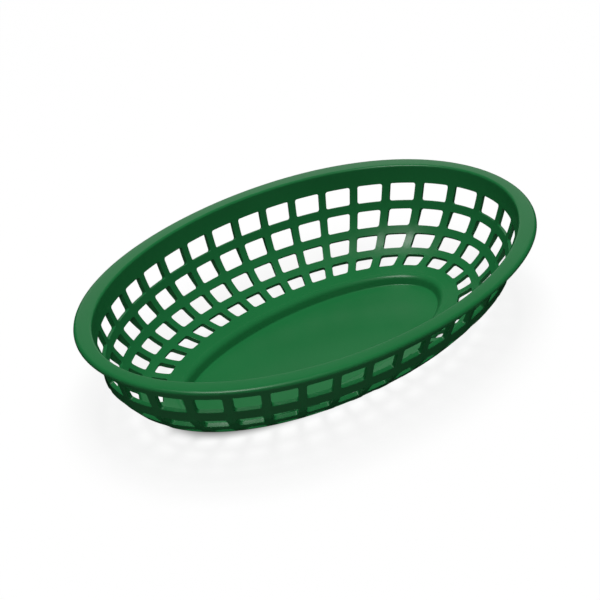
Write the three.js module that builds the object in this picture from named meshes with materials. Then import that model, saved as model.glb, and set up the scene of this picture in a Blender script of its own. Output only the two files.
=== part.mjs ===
// An oval serving basket of green polypropylene with a wall of open windows.
// Its members are solids of their own: a rim, a plain band below it, upright ribs crossed
// by level hoops, and a base of a border, a step and a sunk panel that it stands on.
// Millimetres, +Z up. The origin is the middle of the flat face that it stands on.

import * as THREE from "three";
import { mergeVertices } from "three/addons/utils/BufferGeometryUtils.js";

// Overall size
const LENGTH = 238;
const WIDTH = 154;
const HEIGHT = 46;
const WALL = 2;
const CLEARANCE = 0.3;

// Rim: an out-turned flange that falls away a little from its crown. Seen from above its edge is
// fuller on the diagonals than an oval, by a small share.
const RIM_WIDTH = 7.2;
const RIM_FULLNESS = 0.017;
const RIM_TURN = 0.2;
const RIM_FALL = 0.4;

// Wall: one curve from under the rim to the base, its ends leaning off upright and off level
const WALL_LEAN = 11.5;
const WALL_UPPER_PULL = 31;
const WALL_LOWER_PULL = 12.8;
const BORDER_LEAN = 8;
const BAND_HEIGHT = 6.5;
const BORDER_WIDTH = 5.7;

// Windows: each row is a little lower than the row above it
const WINDOW_ROWS = 4;
const WINDOWS_ROUND = 36;
const ROW_SHRINK = 0.5;
const RIB_WIDTH = 3.6;
const HOOP_HEIGHT = 4;

// Base
const BASE_INSET = 41.2;
const STEP_LAND = 2.8;
const STEP_RUN = 1.8;
const STEP_HEIGHT = 4.3;
const FOOT_WIDTH = 1;

// Finish and fineness
const GREEN = 0x2d7547;
const GLOSS_ROUGHNESS = 0.42;
const RING_STEPS = 72;
const CURVE_STEPS = 2;
const ARC_DIVISIONS = 1440;
const MERGE_DISTANCE = 1e-4;

// A section of the basket is drawn with x as the inset from the rim's outer oval and y as the
// height. Sections run anticlockwise.
const borderTop = WALL + STEP_HEIGHT;
const wallTop = new THREE.Vector2(RIM_WIDTH, HEIGHT - RIM_TURN - WALL);
const wallFoot = new THREE.Vector2(BASE_INSET, borderTop);
const lean = THREE.MathUtils.degToRad(WALL_LEAN);
const level = THREE.MathUtils.degToRad(BORDER_LEAN);
const wallCurve = new THREE.CubicBezierCurve(
  wallTop,
  new THREE.Vector2(Math.sin(lean), -Math.cos(lean)).multiplyScalar(WALL_UPPER_PULL).add(wallTop),
  new THREE.Vector2(-Math.cos(level), Math.sin(level)).multiplyScalar(WALL_LOWER_PULL).add(wallFoot),
  wallFoot,
);
const wallLength = wallCurve.getLength();

// The rows share what the band, the hoops and the border leave of the wall's length.
const hoopCount = WINDOW_ROWS - 1;
const windowsLength = wallLength - BAND_HEIGHT - BORDER_WIDTH - hoopCount * HOOP_HEIGHT;
const rows = [];
let rowTop = BAND_HEIGHT;
for (let i = 0; i < WINDOW_ROWS; i++) {
  const height = windowsLength / WINDOW_ROWS + (hoopCount / 2 - i) * ROW_SHRINK;
  rows.push({ top: rowTop, foot: rowTop + height });
  rowTop += height + HOOP_HEIGHT;
}
const hoops = [];
for (let i = 0; i < hoopCount; i++) {
  hoops.push({ top: rows[i].foot, foot: rows[i + 1].top });
}
const lapDepth = WALL / 2;

// A point of the wall's section: distance runs down the inner face, depth runs through the wall.
function wallPoint(distance, depth) {
  const share = THREE.MathUtils.clamp(distance / wallLength, 0, 1);
  const point = wallCurve.getPointAt(share);
  const along = wallCurve.getTangentAt(share);
  return new THREE.Vector2(point.x + along.y * depth, point.y - along.x * depth);
}

// Points down one face of the wall at a depth, in equal steps.
function wallFace(from, to, depth) {
  const points = [];
  for (let i = 0; i <= CURVE_STEPS; i++) {
    points.push(wallPoint(from + ((to - from) * i) / CURVE_STEPS, depth));
  }
  return points;
}

function wallStrip(from, to) {
  const outer = wallFace(from, to, WALL);
  const inner = wallFace(from, to, 0);
  return [...outer, ...inner.reverse()];
}

function ovalPoint(inset, angle) {
  const x = (LENGTH / 2 - inset) * Math.cos(angle);
  const y = (WIDTH / 2 - inset) * Math.sin(angle);
  return new THREE.Vector2(x, y);
}

function ovalCurve(inset) {
  const oval = new THREE.EllipseCurve(0, 0, LENGTH / 2 - inset, WIDTH / 2 - inset);
  oval.arcLengthDivisions = ARC_DIVISIONS;
  return oval;
}

// Ribs split the oval into equal lengths at the top of the windows and again at their foot, with
// a rib in the middle of each end and each side. Seen from above, a rib is a straight bar.
const topOval = ovalCurve(wallPoint(rows[0].top, lapDepth).x);
const footOval = ovalCurve(wallPoint(rows[hoopCount].foot, lapDepth).x);
const ribs = [];
for (let i = 0; i < WINDOWS_ROUND; i++) {
  const share = i / WINDOWS_ROUND;
  const foot = footOval.getPointAt(share);
  const outward = topOval.getPointAt(share).sub(foot).normalize();
  ribs.push({ foot, side: new THREE.Vector2(-outward.y, outward.x) });
}

// The angle round the oval of an inset at which it lies a given offset to one side of a rib.
function angleBesideRib(rib, inset, offset) {
  const x = (LENGTH / 2 - inset) * rib.side.x;
  const y = (WIDTH / 2 - inset) * rib.side.y;
  const reach = rib.foot.dot(rib.side) + offset;
  return Math.atan2(y, x) - Math.acos(reach / Math.hypot(x, y));
}

function place(point, angle) {
  const outwards = Math.max(0, 1 - point.x / (RIM_WIDTH - WALL));
  const swell = 1 + RIM_FULLNESS * outwards * Math.sin(2 * angle) ** 2;
  const plan = ovalPoint(point.x, angle).multiplyScalar(swell);
  return new THREE.Vector3(plan.x, plan.y, point.y);
}

function placeBesideRib(section, rib, offset) {
  return section.map((point) => place(point, angleBesideRib(rib, point.x, offset)));
}

// A closed solid through a list of sections, all with the same number of points. The sections go
// once round and join up, or else the first and the last are covered by the faces of a lid.
function sweep(sections, lid) {
  const size = sections[0].length;
  const spans = lid ? sections.length - 1 : sections.length;
  const triangles = [];
  for (let k = 0; k < spans; k++) {
    const here = k * size;
    const next = ((k + 1) % sections.length) * size;
    for (let i = 0; i < size; i++) {
      const j = (i + 1) % size;
      triangles.push([here + i, here + j, next + j], [here + i, next + j, next + i]);
    }
  }
  if (lid) {
    const last = spans * size;
    for (const [a, b, c] of lid) {
      triangles.push([c, b, a], [last + a, last + b, last + c]);
    }
  }
  return solid(sections.flat(), triangles);
}

// Corners that fall together are merged, and triangles that this closes up are dropped.
function solid(corners, triangles) {
  const loose = new THREE.BufferGeometry().setFromPoints(corners);
  loose.setIndex(triangles.flat());
  const geometry = mergeVertices(loose, MERGE_DISTANCE);
  const index = geometry.index.array;
  const kept = [];
  for (let i = 0; i < index.length; i += 3) {
    const [a, b, c] = index.slice(i, i + 3);
    if (a !== b && b !== c && c !== a) {
      kept.push(a, b, c);
    }
  }
  geometry.setIndex(kept);
  geometry.computeVertexNormals();
  return geometry;
}

function ring(section) {
  const sections = [];
  for (let k = 0; k < RING_STEPS; k++) {
    const angle = (2 * Math.PI * k) / RING_STEPS;
    sections.push(section.map((point) => place(point, angle)));
  }
  return sweep(sections);
}

function makeRim() {
  const turnMiddle = new THREE.Vector2(wallTop.x - RIM_TURN - WALL, wallTop.y);
  const edgeRound = WALL / 2;
  const edgeTop = HEIGHT - RIM_FALL;
  const slopeMiddle = (turnMiddle.x + edgeRound) / 2;
  const outline = new THREE.Path();
  outline.moveTo(edgeRound, edgeTop - WALL);
  outline.quadraticCurveTo(slopeMiddle, HEIGHT - WALL, turnMiddle.x, HEIGHT - WALL);
  outline.absarc(turnMiddle.x, turnMiddle.y, RIM_TURN, Math.PI / 2, 0, true);
  outline.lineTo(wallTop.x, wallTop.y);
  outline.absarc(turnMiddle.x, turnMiddle.y, RIM_TURN + WALL, 0, Math.PI / 2);
  outline.quadraticCurveTo(slopeMiddle, HEIGHT, edgeRound, edgeTop);
  outline.absarc(edgeRound, edgeTop - edgeRound, edgeRound, Math.PI / 2, 1.5 * Math.PI);
  const points = outline.getPoints(CURVE_STEPS);
  return ring(points.filter((point, i) => point.distanceTo(points.at(i - 1)) > MERGE_DISTANCE));
}

function makeBand() {
  return ring(wallStrip(CLEARANCE, BAND_HEIGHT));
}

// A hoop is whole between the ribs. Where a rib crosses it, only its inner half goes on, so that
// the rib's outer half can pass behind it.
function makeHoop({ top, foot }) {
  const lap = lapDepth - CLEARANCE / 2;
  const lapTop = wallPoint(top, lap);
  const lapFoot = wallPoint(foot, lap);
  const outerTop = wallPoint(top, WALL);
  const outerFoot = wallPoint(foot, WALL);
  const innerTop = wallPoint(top, 0);
  const innerFoot = wallPoint(foot, 0);
  const whole = [outerTop, outerFoot, lapFoot, innerFoot, innerTop, lapTop];
  const half = [lapTop, lapFoot, lapFoot, innerFoot, innerTop, lapTop];
  const notch = RIB_WIDTH / 2 + CLEARANCE;
  const sections = [];
  ribs.forEach((rib, i) => {
    const next = ribs[(i + 1) % ribs.length];
    sections.push(placeBesideRib(whole, rib, -notch), placeBesideRib(half, rib, -notch));
    sections.push(placeBesideRib(half, rib, notch), placeBesideRib(whole, rib, notch));
    const middle = (point) => {
      const start = angleBesideRib(rib, point.x, notch);
      const turn = angleBesideRib(next, point.x, -notch) - start;
      return place(point, start + THREE.MathUtils.euclideanModulo(turn, 2 * Math.PI) / 2);
    };
    sections.push(whole.map(middle));
  });
  return sweep(sections);
}

// A rib runs from the band to the border, and is notched on its inner face for each hoop.
function makeRib(rib) {
  const lap = lapDepth + CLEARANCE / 2;
  const inner = [];
  const outer = [];
  rows.forEach((row, i) => {
    const from = row.top + CLEARANCE;
    const to = row.foot - CLEARANCE;
    inner.push(...wallFace(from, to, 0));
    outer.push(...wallFace(from, to, WALL));
    if (i < hoopCount) {
      inner.push(wallPoint(to, lap), wallPoint(rows[i + 1].top + CLEARANCE, lap));
    }
  });
  const section = [...outer, ...inner.reverse()];
  const lid = THREE.ShapeUtils.triangulateShape(section, []);
  const sides = [-RIB_WIDTH / 2, RIB_WIDTH / 2];
  return sweep(sides.map((offset) => placeBesideRib(section, rib, offset)), lid);
}

function makeBorder() {
  return ring(wallStrip(rows[hoopCount].foot, wallLength));
}

// The step drops from the border to the panel, as thick as the wall on its slope.
const landEnd = BASE_INSET + STEP_LAND;
const stepFoot = landEnd + STEP_RUN;
function makeStep() {
  const mitre = WALL * Math.tan(Math.atan2(STEP_HEIGHT, STEP_RUN) / 2);
  const start = BASE_INSET + CLEARANCE;
  const startBelow = start - WALL * Math.sin(level);
  return ring([
    new THREE.Vector2(startBelow, borderTop - WALL),
    new THREE.Vector2(landEnd - mitre, borderTop - WALL),
    new THREE.Vector2(stepFoot - mitre, 0),
    new THREE.Vector2(stepFoot + FOOT_WIDTH, 0),
    new THREE.Vector2(stepFoot + FOOT_WIDTH, WALL),
    new THREE.Vector2(stepFoot, WALL),
    new THREE.Vector2(landEnd, borderTop),
    new THREE.Vector2(start, borderTop),
  ]);
}

function makePanel() {
  const edge = stepFoot + FOOT_WIDTH + CLEARANCE;
  const outline = new THREE.Shape();
  outline.absellipse(0, 0, LENGTH / 2 - edge, WIDTH / 2 - edge, 0, 2 * Math.PI);
  return new THREE.ExtrudeGeometry(outline, {
    depth: WALL,
    bevelEnabled: false,
    curveSegments: RING_STEPS / 2,
  });
}

const basket = new THREE.Group();

function addMember(name, geometry) {
  const plastic = new THREE.MeshStandardMaterial({
    color: GREEN,
    roughness: GLOSS_ROUGHNESS,
    metalness: 0,
  });
  const member = new THREE.Mesh(geometry, plastic);
  member.name = name;
  basket.add(member);
}

addMember("rim", makeRim());
addMember("upper_band", makeBand());
hoops.forEach((hoop, i) => addMember(`hoop_${i + 1}`, makeHoop(hoop)));
ribs.forEach((rib, i) => addMember(`rib_${String(i + 1).padStart(2, "0")}`, makeRib(rib)));
addMember("base_border", makeBorder());
addMember("base_step", makeStep());
addMember("base_panel", makePanel());

export default basket;
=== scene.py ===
# %% [markdown]
# An oval serving basket
# The real basket is one injection moulding of green polypropylene: an out-turned rim, a bowed
# wall of open windows and a base with a sunk panel, with no seam between them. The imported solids
# split it into members with hair gaps. Here the moulding is built again as one closed skin that
# stands for all of those members, and then it gets its finish, a floor, light and a camera.

# %% Load the solids
import math

import bmesh
import bpy
import numpy as np
from mathutils import Matrix, Vector


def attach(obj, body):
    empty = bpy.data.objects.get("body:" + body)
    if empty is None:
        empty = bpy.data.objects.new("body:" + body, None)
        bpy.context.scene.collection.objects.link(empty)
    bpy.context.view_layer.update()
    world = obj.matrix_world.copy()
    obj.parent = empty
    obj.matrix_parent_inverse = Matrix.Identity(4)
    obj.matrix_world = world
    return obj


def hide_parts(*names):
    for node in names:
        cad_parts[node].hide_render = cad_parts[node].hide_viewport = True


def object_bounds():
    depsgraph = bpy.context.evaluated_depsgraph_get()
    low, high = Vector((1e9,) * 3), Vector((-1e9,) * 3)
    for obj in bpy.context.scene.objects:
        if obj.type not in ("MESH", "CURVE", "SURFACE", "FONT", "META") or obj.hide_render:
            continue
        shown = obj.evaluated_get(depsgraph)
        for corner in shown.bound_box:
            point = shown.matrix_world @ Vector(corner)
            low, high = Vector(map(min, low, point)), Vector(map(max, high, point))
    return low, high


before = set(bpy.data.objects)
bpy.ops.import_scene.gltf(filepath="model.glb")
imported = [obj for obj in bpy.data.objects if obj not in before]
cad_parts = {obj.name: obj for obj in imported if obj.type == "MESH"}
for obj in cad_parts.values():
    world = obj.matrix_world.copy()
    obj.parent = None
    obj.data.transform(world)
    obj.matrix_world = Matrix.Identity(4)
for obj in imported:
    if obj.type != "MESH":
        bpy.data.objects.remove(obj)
cad_low, cad_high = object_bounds()
MM = 0.001
length, width, height = (cad_high - cad_low) / MM
print(f"{len(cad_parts)} solids, {length:.1f} x {width:.1f} x {height:.1f} mm overall")

# %% [markdown]
# The wall's section
# Cut the basket through and its wall shows one easy curve: steep under the rim, then bowing in
# until it runs nearly level into the base. It could be traced with many points, but a curve with
# two handles has the same sweep and stays smooth, so that is used. A section is drawn in
# millimetres, with the inset from the rim's outer oval first and the height second.

# %% Draw the wall's curve
WALL = 2.0
RIM_WIDTH = 7.2
RIM_TURN = 0.2
WALL_LEAN = math.radians(11.5)
WALL_UPPER_PULL = 31.0
WALL_LOWER_PULL = 12.8
BORDER_LEAN = math.radians(8)
BASE_INSET = 41.2
STEP_HEIGHT = 4.3

wall_top = np.array([RIM_WIDTH, height - RIM_TURN - WALL])
wall_foot = np.array([BASE_INSET, WALL + STEP_HEIGHT])
wall_up = np.array([-math.sin(WALL_LEAN), math.cos(WALL_LEAN)])
border_out = np.array([-math.cos(BORDER_LEAN), math.sin(BORDER_LEAN)])
handles = np.array([
    wall_top,
    wall_top - WALL_UPPER_PULL * wall_up,
    wall_foot + WALL_LOWER_PULL * border_out,
    wall_foot,
])


def curve_point(t):
    """A point of the curve, with t from 0 under the rim to 1 at the base."""
    return np.array([(1 - t) ** 3, 3 * t * (1 - t) ** 2, 3 * t**2 * (1 - t), t**3]) @ handles


def curve_direction(t):
    """The direction in which the curve runs down at t."""
    along = np.array([(1 - t) ** 2, 2 * t * (1 - t), t**2]) @ np.diff(handles, axis=0)
    return along / np.linalg.norm(along)


CURVE_SAMPLES = 401
samples = np.linspace(0, 1, CURVE_SAMPLES)
sample_points = np.array([curve_point(t) for t in samples])
sample_steps = np.linalg.norm(np.diff(sample_points, axis=0), axis=1)
sample_distances = np.concatenate([[0], np.cumsum(sample_steps)])
wall_length = sample_distances[-1]


def wall_point(distance, depth):
    """A point of the section at a distance down the inner face and a depth into the wall."""
    t = np.interp(distance, sample_distances, samples)
    along = curve_direction(t)
    return curve_point(t) + depth * np.array([along[1], -along[0]])


print(f"the wall is {wall_length:.1f} mm from rim to base, and {WALL} mm thick")

# %% [markdown]
# Rows of windows
# The windows stand in rows that get a little lower towards the base. A plain band is left under
# the rim, hoops are left between the rows, and a plain border is left above the base. The rows
# share what these leave of the wall. Each window is modelled in a cell that reaches to the middle
# of the hoop above it and of the hoop below it.

# %% Share the wall among the rows
WINDOW_ROWS = 4
ROW_SHRINK = 0.5
BAND_HEIGHT = 6.5
BORDER_WIDTH = 5.7
HOOP_HEIGHT = 4.0

windows_length = wall_length - BAND_HEIGHT - BORDER_WIDTH - (WINDOW_ROWS - 1) * HOOP_HEIGHT
rows = []
row_top = BAND_HEIGHT
for index in range(WINDOW_ROWS):
    window_height = windows_length / WINDOW_ROWS + ((WINDOW_ROWS - 1) / 2 - index) * ROW_SHRINK
    rows.append((row_top, row_top + window_height))
    row_top += window_height + HOOP_HEIGHT
lattice_top = rows[0][0] - HOOP_HEIGHT / 2
lattice_foot = rows[-1][1] + HOOP_HEIGHT / 2
print("window heights:", [round(foot - top, 2) for top, foot in rows])

# %% [markdown]
# Ribs round the oval
# Seen from above, every level of the basket is an oval. The ribs share the top oval and the foot
# oval out into equal lengths, so the windows are all alike even where the oval bends most, and a
# rib is a straight bar from one oval to the other. Equal angles would be simpler, but they would
# make the windows at the two ends narrower than those at the sides.

# %% Place the ribs
WINDOWS_ROUND = 36
OVAL_SAMPLES = 2881


def oval_point(inset, angle):
    """Where the oval of an inset lies at an angle, seen from above."""
    return np.array([(length / 2 - inset) * np.cos(angle), (width / 2 - inset) * np.sin(angle)])


def equal_shares(inset):
    """The points that split an oval into as many equal lengths as there are windows."""
    angles = np.linspace(0, 2 * math.pi, OVAL_SAMPLES)
    steps = np.linalg.norm(np.diff(oval_point(inset, angles), axis=1), axis=0)
    distances = np.concatenate([[0], np.cumsum(steps)])
    shares = np.arange(WINDOWS_ROUND) / WINDOWS_ROUND
    return oval_point(inset, np.interp(shares * distances[-1], distances, angles)).T


feet = equal_shares(wall_point(rows[-1][1], WALL / 2)[0])
tops = equal_shares(wall_point(rows[0][0], WALL / 2)[0])
outward = (tops - feet) / np.linalg.norm(tops - feet, axis=1)[:, None]
sides = np.column_stack([-outward[:, 1], outward[:, 0]])
spacing = np.linalg.norm(tops[1] - tops[0])
print(f"{WINDOWS_ROUND} ribs, {spacing:.1f} mm apart at the top of the windows")

# %% Find places between the ribs
RIB_WIDTH = 3.6
RIM_FULLNESS = 0.017


def angle_beside_rib(rib, inset, offset):
    """The angle at which an oval lies a given offset to one side of a rib's middle line."""
    x = (length / 2 - inset) * sides[rib][0]
    y = (width / 2 - inset) * sides[rib][1]
    reach = feet[rib] @ sides[rib] + offset
    return math.atan2(y, x) - math.acos(reach / math.hypot(x, y))


def angle_in_cell(cell, inset, share, offset):
    """The angle at a share of the way across a cell, whose sides are set in from its two ribs."""
    start = angle_beside_rib(cell, inset, offset)
    end = angle_beside_rib((cell + 1) % WINDOWS_ROUND, inset, -offset)
    return start + share * ((end - start) % (2 * math.pi))


def place(point, angle):
    """A point of the section at an angle. The rim's edge swells a little on the diagonals."""
    inset, level = point
    outwards = max(0, 1 - inset / (RIM_WIDTH - WALL))
    swell = 1 + RIM_FULLNESS * outwards * math.sin(2 * angle) ** 2
    return Vector((*oval_point(inset, angle) * swell, level)) * MM


top_inset = wall_point(rows[0][0], 0)[0]
window_sides = [angle_in_cell(0, top_inset, share, RIB_WIDTH / 2) for share in (0, 1)]
window_width = np.linalg.norm(np.diff(oval_point(top_inset, np.array(window_sides))))
print(f"the first window is {window_width:.1f} mm wide at its top")

# %% [markdown]
# One window
# A window is a hole with small round corners, and its edges are eased a little on both faces, as a
# moulded edge is. Cutting it with a boolean would leave long thin triangles that shade badly.
# Instead each cell is a stack of loops: the border of the cell on the inner face, the window's
# outline, the eased edge, the way through the wall, and the same again on the outer face. Faces
# join each loop to the next, so all the edges run with the shape. Outside, the topmost hoop stands
# nearly upright, so the wall thickens towards its lower edge, and the ribs below it taper back.

# %% Draw the loops of a window
CORNER_ROUND = 1.0
EDGE_ROUND = 0.15
CORNER_STEPS = 4
EDGE_STEPS = 3
ACROSS_STEPS = 6
DOWN_STEPS = 4


def window_outline(half_rib, top, foot, radius):
    """Points (share across, offset from the rib, distance down the wall) round a window."""
    turns = [math.pi / 2 * step / CORNER_STEPS for step in range(CORNER_STEPS + 1)]
    corner = [(half_rib + radius * (1 - math.cos(a)), radius * (1 - math.sin(a))) for a in turns]
    across = [step / ACROSS_STEPS for step in range(1, ACROSS_STEPS)]
    straight = foot - top - 2 * radius
    down = [top + radius + straight * step / DOWN_STEPS for step in range(1, DOWN_STEPS)]
    points = [(0, offset, top + drop) for offset, drop in corner]
    points += [(share, half_rib + radius, top) for share in across]
    points += [(1, offset, top + drop) for offset, drop in reversed(corner)]
    points += [(1, half_rib, distance) for distance in down]
    points += [(1, offset, foot - drop) for offset, drop in corner]
    points += [(share, half_rib + radius, foot) for share in reversed(across)]
    points += [(0, offset, foot - drop) for offset, drop in reversed(corner)]
    points += [(0, half_rib, distance) for distance in reversed(down)]
    return points


def window_loops(top, foot):
    """The outlines of a window from the inner face to the outer, each with its depth."""
    border = window_outline(0, top - HOOP_HEIGHT / 2, foot + HOOP_HEIGHT / 2, 0)
    eased = []
    for step in range(EDGE_STEPS + 1):
        turn = math.pi / 2 * step / EDGE_STEPS
        grow = EDGE_ROUND * (1 - math.sin(turn))
        outline = window_outline(RIB_WIDTH / 2 - grow, top - grow, foot + grow, CORNER_ROUND + grow)
        eased.append((outline, EDGE_ROUND * (1 - math.cos(turn))))
    inner = [(border, 0), *eased]
    outer = [(outline, WALL - depth) for outline, depth in reversed(inner)]
    return inner + outer


first_loops = window_loops(*rows[0])
print(f"a window has {len(first_loops)} loops of {len(first_loops[0][0])} points")

# %% Build the windows
# How far the lower edge of the topmost hoop stands out from the wall's outer face.
HOOP_STAND = 1.3
moulding = bmesh.new()


def add_loops(loops):
    """Faces between each loop of points and the next."""
    made = [[moulding.verts.new(point) for point in loop] for loop in loops]
    for here, there in zip(made, made[1:]):
        for i in range(len(here)):
            moulding.faces.new((here[i - 1], here[i], there[i], there[i - 1]))


def thickening(distance):
    """The wall's thickness at a distance, as a multiple of its plain thickness."""
    hoop_top = rows[0][1]
    hoop_foot, rib_foot = rows[1]
    return np.interp(distance, [hoop_top, hoop_foot, rib_foot], [1, 1 + HOOP_STAND / WALL, 1])


def bend_loop(cell, outline, depth):
    """An outline laid on the wall, between a cell's two ribs."""
    points = []
    for share, offset, distance in outline:
        section = wall_point(distance, depth * thickening(distance))
        points.append(place(section, angle_in_cell(cell, section[0], share, offset)))
    return points


for top, foot in rows:
    loops = window_loops(top, foot)
    for cell in range(WINDOWS_ROUND):
        add_loops([bend_loop(cell, outline, depth) for outline, depth in loops])
print(f"{WINDOW_ROWS * WINDOWS_ROUND} windows, {len(moulding.faces)} faces so far")

# %% [markdown]
# The rim
# The rim turns out from the wall over a round crown, falls away a little towards its edge, and ends
# in a round lip. On a basket this is the stiffener and the grip. Its section is a short list of
# corners, rounded by a fillet, and the fall is a parabola. The section is then swept round the
# oval in rings with the same columns as the cells, so that rim and windows meet point for point.

# %% Round the corners of a section
FILLET_STEPS = 6


def fillet(before, corner, after, radius):
    """Points of the arc that rounds a corner of a section."""
    back = (before - corner) / np.linalg.norm(before - corner)
    ahead = (after - corner) / np.linalg.norm(after - corner)
    half_angle = math.acos(back @ ahead) / 2
    reach = radius / math.tan(half_angle)
    bisector = (back + ahead) / np.linalg.norm(back + ahead)
    middle = corner + bisector * radius / math.sin(half_angle)
    first_spoke = corner + back * reach - middle
    last_spoke = corner + ahead * reach - middle
    turn = math.pi - 2 * half_angle
    points = []
    for step in range(FILLET_STEPS + 1):
        part = turn * step / FILLET_STEPS
        spoke = (math.sin(turn - part) * first_spoke + math.sin(part) * last_spoke) / math.sin(turn)
        points.append(middle + spoke)
    return points


print(f"a round has {FILLET_STEPS} steps")

# %% Draw the rim's section
RIM_FALL = 0.4
CROWN_ROUND = 1.2
UNDER_ROUND = 0.4
LIP_TOP_ROUND = 1.5
LIP_FOOT_ROUND = 0.4
FALL_STEPS = 3
BAND_STEPS = 3


def rim_side(depth, turn_radius):
    """One side of the rim's section, from the wall to near the lip, and the corner of the lip."""
    start = wall_point(0, depth)
    crown = height - depth
    corner = start + wall_up * (crown - start[1]) / wall_up[1]
    points = fillet(start, corner, np.array([0, crown]), turn_radius)
    run = points[-1][0]
    lip_corner = np.array([0, crown - RIM_FALL])
    for step in range(1, FALL_STEPS):
        share = step / FALL_STEPS
        points.append(np.array([run * (1 - share), crown - RIM_FALL * share**2]))
    return points, lip_corner


inner_band = [wall_point(lattice_top * (1 - step / BAND_STEPS), 0) for step in range(BAND_STEPS + 1)]
outer_band = [wall_point(lattice_top * step / BAND_STEPS, WALL) for step in range(BAND_STEPS + 1)]
upper_side, upper_lip = rim_side(0, CROWN_ROUND)
under_side, under_lip = rim_side(WALL, UNDER_ROUND)
rim_section = [
    *inner_band,
    *upper_side,
    *fillet(upper_side[-1], upper_lip, under_lip, LIP_TOP_ROUND),
    *fillet(upper_lip, under_lip, under_side[-1], LIP_FOOT_ROUND),
    *reversed(under_side),
    *outer_band,
]
print(f"the rim's section has {len(rim_section)} points")


# %% Sweep the rim
def ring_loop(point, column_inset):
    """A ring round the basket at a point of the section, on the columns of a given inset."""
    loop = []
    for cell in range(WINDOWS_ROUND):
        for step in range(ACROSS_STEPS):
            loop.append(place(point, angle_in_cell(cell, column_inset, step / ACROSS_STEPS, 0)))
    return loop


add_loops([ring_loop(point, point[0]) for point in rim_section])
print(f"{len(moulding.faces)} faces with the rim")

# %% [markdown]
# The base
# Below the windows the wall runs into a narrow level border, and then steps down to the flat
# panel that the basket stands on. The inner face and the underside are swept as two discs.
# Their rings keep a fixed inset, so they close up by themselves on a line along the middle.

# %% Sweep the base
STEP_LAND = 2.8
STEP_RUN = 1.8
# The wall stops this far short of the border, so that there is room for the round between them.
STEP_GAP = 1.0
# Radii where the wall meets the border, at the top of the step and at its foot.
INNER_ROUNDS = (6.0, 3.0, 0.8)
UNDER_ROUNDS = (1.0, 0.6, 1.4)
BORDER_STEPS = 4
PANEL_STEPS = 5

land_end = np.array([BASE_INSET + STEP_LAND, WALL + STEP_HEIGHT])
step_foot = land_end + np.array([STEP_RUN, -STEP_HEIGHT])
mitre = WALL * math.tan(math.atan2(STEP_HEIGHT, STEP_RUN) / 2)


def border_points(depth):
    """The wall's last stretch, from the windows to the base."""
    stops = np.linspace(lattice_foot, wall_length - STEP_GAP, BORDER_STEPS)
    return [wall_point(distance, depth) for distance in stops]


def panel_points(edge, level):
    """Rings from the edge of the panel to its middle line."""
    insets = np.linspace(edge, width / 2, PANEL_STEPS)
    return [np.array([inset, level]) for inset in insets]


def base_section(depth, border_round, top_round, foot_round):
    """One face of the base, from the lowest windows to the middle of the panel."""
    below = np.array([0, depth])
    aside = np.array([mitre * depth / WALL, 0])
    border = border_points(depth)
    start = wall_point(wall_length, depth)
    land = land_end - below - aside
    foot = step_foot - below - aside
    middle = np.array([width / 2, foot[1]])
    section = border + fillet(border[-1], start, land, border_round)
    section += fillet(start, land, foot, top_round)
    section += fillet(land, foot, middle, foot_round)
    return section + panel_points(section[-1][0], foot[1])[1:]


for section in (base_section(0, *INNER_ROUNDS), base_section(WALL, *UNDER_ROUNDS)):
    add_loops([ring_loop(point, section[0][0]) for point in section])
print(f"{len(moulding.faces)} faces in all")

# %% [markdown]
# One closed skin
# The windows, the rim and the base were drawn with the same points along their borders, so merging
# points that fall together joins them into one skin. A skin that can be moulded or printed has two
# faces at every edge, and that is counted here. Its volume gives the weight as a last test.

# %% Join the skin
MERGE_DISTANCE = 0.002 * MM
POLYPROPYLENE_DENSITY = 905

bmesh.ops.remove_doubles(moulding, verts=moulding.verts, dist=MERGE_DISTANCE)
bmesh.ops.recalc_face_normals(moulding, faces=moulding.faces)
open_edges = [edge for edge in moulding.edges if len(edge.link_faces) != 2]
weight = moulding.calc_volume() * POLYPROPYLENE_DENSITY
for face in moulding.faces:
    face.smooth = True
skin = bpy.data.meshes.new("basket_moulding")
moulding.to_mesh(skin)
moulding.free()
basket = bpy.data.objects.new("basket_moulding", skin)
bpy.context.scene.collection.objects.link(basket)
flat_first = basket.modifiers.new("flat faces keep their shading", "WEIGHTED_NORMAL")
flat_first.keep_sharp = True
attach(basket, "root")
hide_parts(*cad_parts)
print(f"{len(skin.polygons)} faces, {len(open_edges)} open edges, {weight * 1000:.1f} g")

# %% [markdown]
# Moulded polypropylene
# Polypropylene coloured all through and moulded against a smooth steel tool has a soft satin gloss:
# highlights are clear but their edges are soft. Close to, the skin shows the fine grain of the
# tool and a faint unevenness where the melt flowed. Both could be painted, but noise has no seams
# and takes its scale from real millimetres, so noise is used.

# %% Colours and nodes
GREEN = "#1f713d"
DEEP_GREEN = "#1b6636"


def linear(hex_colour):
    """The linear red, green, blue and alpha of an sRGB hex colour."""
    channels = [int(hex_colour[i:i + 2], 16) / 255 for i in (1, 3, 5)]
    spread = [c / 12.92 if c <= 0.04045 else ((c + 0.055) / 1.055) ** 2.4 for c in channels]
    return (*spread, 1)


def add_node(tree, kind, settings=None, **inputs):
    """Adds a node with its settings. An input is a value, or the socket that it is linked from."""
    node = tree.nodes.new(kind)
    for name, value in (settings or {}).items():
        setattr(node, name, value)
    for name, value in inputs.items():
        socket = node.inputs[name.replace("_", " ")]
        if isinstance(value, bpy.types.NodeSocket):
            tree.links.new(value, socket)
        else:
            socket.default_value = value
    return node


def add_material(name):
    """An empty material and its node tree."""
    material = bpy.data.materials.new(name)
    material.use_nodes = True
    material.node_tree.nodes.clear()
    return material, material.node_tree


print("the green in linear light:", [round(channel, 3) for channel in linear(GREEN)])

# %% Make the plastic
POLYPROPYLENE_IOR = 1.49
GLOSSIEST = 0.28
DULLEST = 0.34
FLOW_MARK = 45.0
FLOW_DETAIL = 2
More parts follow.
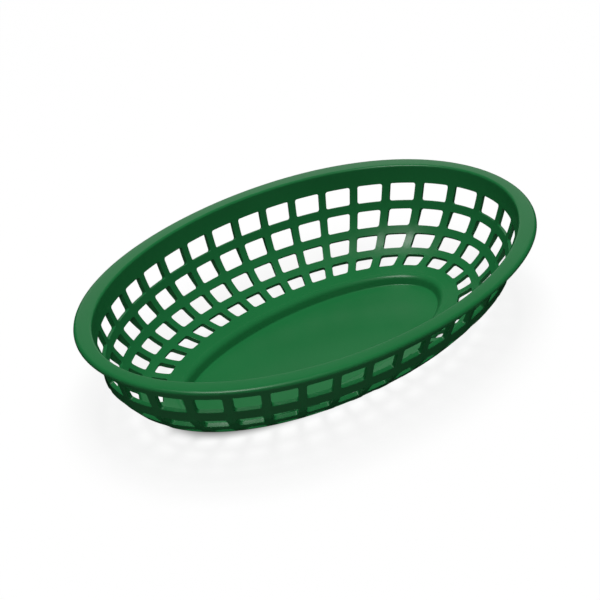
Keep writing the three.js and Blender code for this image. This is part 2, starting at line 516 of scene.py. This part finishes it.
# A polished tool leaves grain of about a tenth of a millimetre. It is drawn coarser, so that it shows.
TOOL_GRAIN = 0.6
GRAIN_DETAIL = 1
GRAIN_DEPTH = 0.004

plastic, tree = add_material("moulded_polypropylene")
places = add_node(tree, "ShaderNodeTexCoord").outputs["Object"]
flow_scale = 1 / (FLOW_MARK * MM)
flow = add_node(tree, "ShaderNodeTexNoise", Vector=places, Scale=flow_scale, Detail=FLOW_DETAIL)
tone = add_node(tree, "ShaderNodeValToRGB", Fac=flow.outputs["Fac"])
tone.color_ramp.elements[0].color = linear(DEEP_GREEN)
tone.color_ramp.elements[1].color = linear(GREEN)
gloss = add_node(
    tree, "ShaderNodeMapRange", Value=flow.outputs["Fac"], To_Min=GLOSSIEST, To_Max=DULLEST,
)
grain_scale = 1 / (TOOL_GRAIN * MM)
grain = add_node(tree, "ShaderNodeTexNoise", Vector=places, Scale=grain_scale, Detail=GRAIN_DETAIL)
bump = add_node(tree, "ShaderNodeBump", Height=grain.outputs["Fac"], Distance=GRAIN_DEPTH * MM)
surface = add_node(
    tree, "ShaderNodeBsdfPrincipled", Base_Color=tone.outputs["Color"],
    Roughness=gloss.outputs["Result"], IOR=POLYPROPYLENE_IOR, Normal=bump.outputs["Normal"],
)
add_node(tree, "ShaderNodeOutputMaterial", Surface=surface.outputs["BSDF"])
skin.materials.append(plastic)
print(f"{plastic.name}: {len(tree.nodes)} nodes")

# %% [markdown]
# Floor
# The basket stands on a pale board, lit from within like the light tables that small goods are shown
# on, so the windows read white and the shadow stays faint. It could be a curved paper sweep, but
# the view is steep enough for a flat board to fill it. A board this bright would also light the
# basket from below, which its deep green walls do not show, so only the camera sees it. Close to
# the foot the glow fades in the shape of the base's oval: that is a painted contact shadow.

# %% Lay the floor
FLOOR_SIZE = 4.0
# The board itself is grey: with its glow and the light that falls on it, it comes out white.
BOARD_GREY = "#5d5d5d"
BOARD_ROUGHNESS = 0.9
BOARD_GLOW = 0.88
# The glow that is left at the foot, where the board's contact shadow is painted.
PAINTED_SHADOW_GLOW = 0.04
# The glow fades between two ovals, given as multiples of the foot's own oval, painting a contact
# shadow.
PAINTED_SHADOW_START = 1.0
PAINTED_SHADOW_REACH = 1.22

floor_mesh = bpy.data.meshes.new("white_board")
reach = FLOOR_SIZE / 2
corners = [(-reach, -reach, 0), (reach, -reach, 0), (reach, reach, 0), (-reach, reach, 0)]
floor_mesh.from_pydata(corners, [], [(0, 1, 2, 3)])
board, tree = add_material("glowing_white_board")
foot_inset = step_foot[0] - mitre
foot_oval = Vector((length / 2 - foot_inset, width / 2 - foot_inset, 1)) * MM
places = add_node(tree, "ShaderNodeTexCoord").outputs["Object"]
ovals = add_node(tree, "ShaderNodeVectorMath", {"operation": "DIVIDE"}, Vector=places)
ovals.inputs[1].default_value = foot_oval
reaches = add_node(
    tree, "ShaderNodeVectorMath", {"operation": "LENGTH"}, Vector=ovals.outputs["Vector"],
)
# Painted contact shadow: the board's glow dims from the outer oval in to the foot's oval.
glow = add_node(
    tree, "ShaderNodeMapRange", {"interpolation_type": "SMOOTHSTEP"}, Value=reaches.outputs["Value"],
    From_Min=PAINTED_SHADOW_START, From_Max=PAINTED_SHADOW_REACH, To_Min=PAINTED_SHADOW_GLOW, To_Max=BOARD_GLOW,
)
surface = add_node(
    tree, "ShaderNodeBsdfPrincipled", Base_Color=linear(BOARD_GREY), Roughness=BOARD_ROUGHNESS,
    Emission_Color=linear("#ffffff"), Emission_Strength=glow.outputs["Result"],
)
add_node(tree, "ShaderNodeOutputMaterial", Surface=surface.outputs["BSDF"])
floor_mesh.materials.append(board)
floor = bpy.data.objects.new("white_board", floor_mesh)
bpy.context.scene.collection.objects.link(floor)
floor.visible_glossy = False
floor.visible_diffuse = False
print(f"a board {FLOOR_SIZE:.0f} m across")

# %% [markdown]
# Camera
# The view looks down at about 32 degrees, from beyond one end and one side, through a long lens.
# The camera could be turned towards the basket by a constraint. Here its three axes are worked out
# instead, because the view also rolls a little and the basket stands off the middle of the picture,
# which is square.

# %% Work out the view
CAMERA_TURN = math.radians(-43.23)
CAMERA_RISE = math.radians(31.66)
CAMERA_ROLL = math.radians(-2.59)
CAMERA_DISTANCE = 1055.0
IMAGE_WIDTH = 600
PIXELS_PER_MM = 2.218
BASE_PIXEL = (316.0, 353.7)

flat = math.cos(CAMERA_RISE)
back = Vector((math.sin(CAMERA_TURN) * flat, -math.cos(CAMERA_TURN) * flat, math.sin(CAMERA_RISE)))
level_right = Vector((math.cos(CAMERA_TURN), math.sin(CAMERA_TURN), 0))
level_up = back.cross(level_right)
right = math.cos(CAMERA_ROLL) * level_right + math.sin(CAMERA_ROLL) * level_up
up = math.cos(CAMERA_ROLL) * level_up - math.sin(CAMERA_ROLL) * level_right
aside = (IMAGE_WIDTH / 2 - BASE_PIXEL[0]) / PIXELS_PER_MM * MM
above = (BASE_PIXEL[1] - IMAGE_WIDTH / 2) / PIXELS_PER_MM * MM
aim = right * aside + up * above
print(f"the view is aimed {aim.length / MM:.1f} mm from the middle of the base")

# %% Set up the camera
SENSOR_WIDTH = 36.0

lens = bpy.data.cameras.new("studio_camera")
lens.sensor_width = SENSOR_WIDTH
lens.lens = PIXELS_PER_MM * CAMERA_DISTANCE * SENSOR_WIDTH / IMAGE_WIDTH
camera = bpy.data.objects.new("studio_camera", lens)
bpy.context.scene.collection.objects.link(camera)
camera.location = back * CAMERA_DISTANCE * MM
z_axis = (camera.location - aim).normalized()
x_axis = up.cross(z_axis).normalized()
camera.matrix_world = Matrix.Translation(camera.location) @ Matrix(
    (x_axis, z_axis.cross(x_axis), z_axis)).transposed().to_4x4()
bpy.context.scene.camera = camera
print(f"lens {lens.lens:.0f} mm at {CAMERA_DISTANCE:.0f} mm")

# %% [markdown]
# Light
# Level faces are bright and steep walls stay deep green, so most of the light falls from straight
# above. It could be one great panel, but the wide highlight of that would hide the green, so it is
# a lamp that is kept out of reflections. The few highlights lie on the lip of the rim, on the top
# of the step and low on the far wall: a softbox hung towards the camera puts them there. A dim card
# stands behind the basket, and pales the far side of the rim.

# %% Hang the lights
LIGHT_DISTANCE = 2.5
CEILING_RISE = math.radians(96)
CEILING_SIZE = (1.1, 1.1)
CEILING_POWER = 43.0
SOFTBOX_RISE = math.radians(72)
SOFTBOX_SIZE = (0.8, 1.1)
SOFTBOX_POWER = 23.0
CARD_RISE = math.radians(161)
CARD_SIZE = (2.2, 1.0)
CARD_POWER = 4.6


def add_light(name, rise, size, power):
    """An oblong light at a rise from the camera's side, turned to the basket."""
    light = bpy.data.lights.new(name, "AREA")
    light.shape = "RECTANGLE"
    light.size, light.size_y = size
    light.energy = power
    hung = bpy.data.objects.new(name, light)
    bpy.context.scene.collection.objects.link(hung)
    flat = math.cos(rise)
    towards = Vector((math.sin(CAMERA_TURN) * flat, -math.cos(CAMERA_TURN) * flat, math.sin(rise)))
    hung.location = towards * LIGHT_DISTANCE
    hung.rotation_euler = towards.to_track_quat("Z", "Y").to_euler()
    print(f"{name}: {size[0]} x {size[1]} m, {LIGHT_DISTANCE} m away")
    return hung


ceiling = add_light("ceiling", CEILING_RISE, CEILING_SIZE, CEILING_POWER)
ceiling.visible_glossy = False
add_light("softbox", SOFTBOX_RISE, SOFTBOX_SIZE, SOFTBOX_POWER)
add_light("back_card", CARD_RISE, CARD_SIZE, CARD_POWER)

# %% [markdown]
# Room
# The rest of the light is what the floor and the room throw back: some from below, and little from
# above. Walls and a ceiling could be modelled for it, but a glow that depends only on height does
# the same. It fills the shadows without a highlight, so it is kept out of reflections.

# %% Light the room
ROOM_GLOW = 0.06
GROUND_GLOW = 0.55
HORIZON_LOW = -0.2
HORIZON_HIGH = 0.2

room = bpy.data.worlds.new("room")
room.use_nodes = True
tree = room.node_tree
sight = add_node(tree, "ShaderNodeTexCoord").outputs["Generated"]
rise = add_node(tree, "ShaderNodeSeparateXYZ", Vector=sight).outputs["Z"]
glow = add_node(
    tree, "ShaderNodeMapRange", Value=rise, From_Min=HORIZON_LOW, From_Max=HORIZON_HIGH,
    To_Min=GROUND_GLOW, To_Max=ROOM_GLOW,
)
background = tree.nodes["Background"]
background.inputs["Color"].default_value = linear("#ffffff")
tree.links.new(glow.outputs["Result"], background.inputs["Strength"])
room.cycles_visibility.glossy = False
bpy.context.scene.world = room
bpy.context.scene.view_settings.view_transform = "Standard"
print(f"the room glows {GROUND_GLOW} at the ground and {ROOM_GLOW} above")
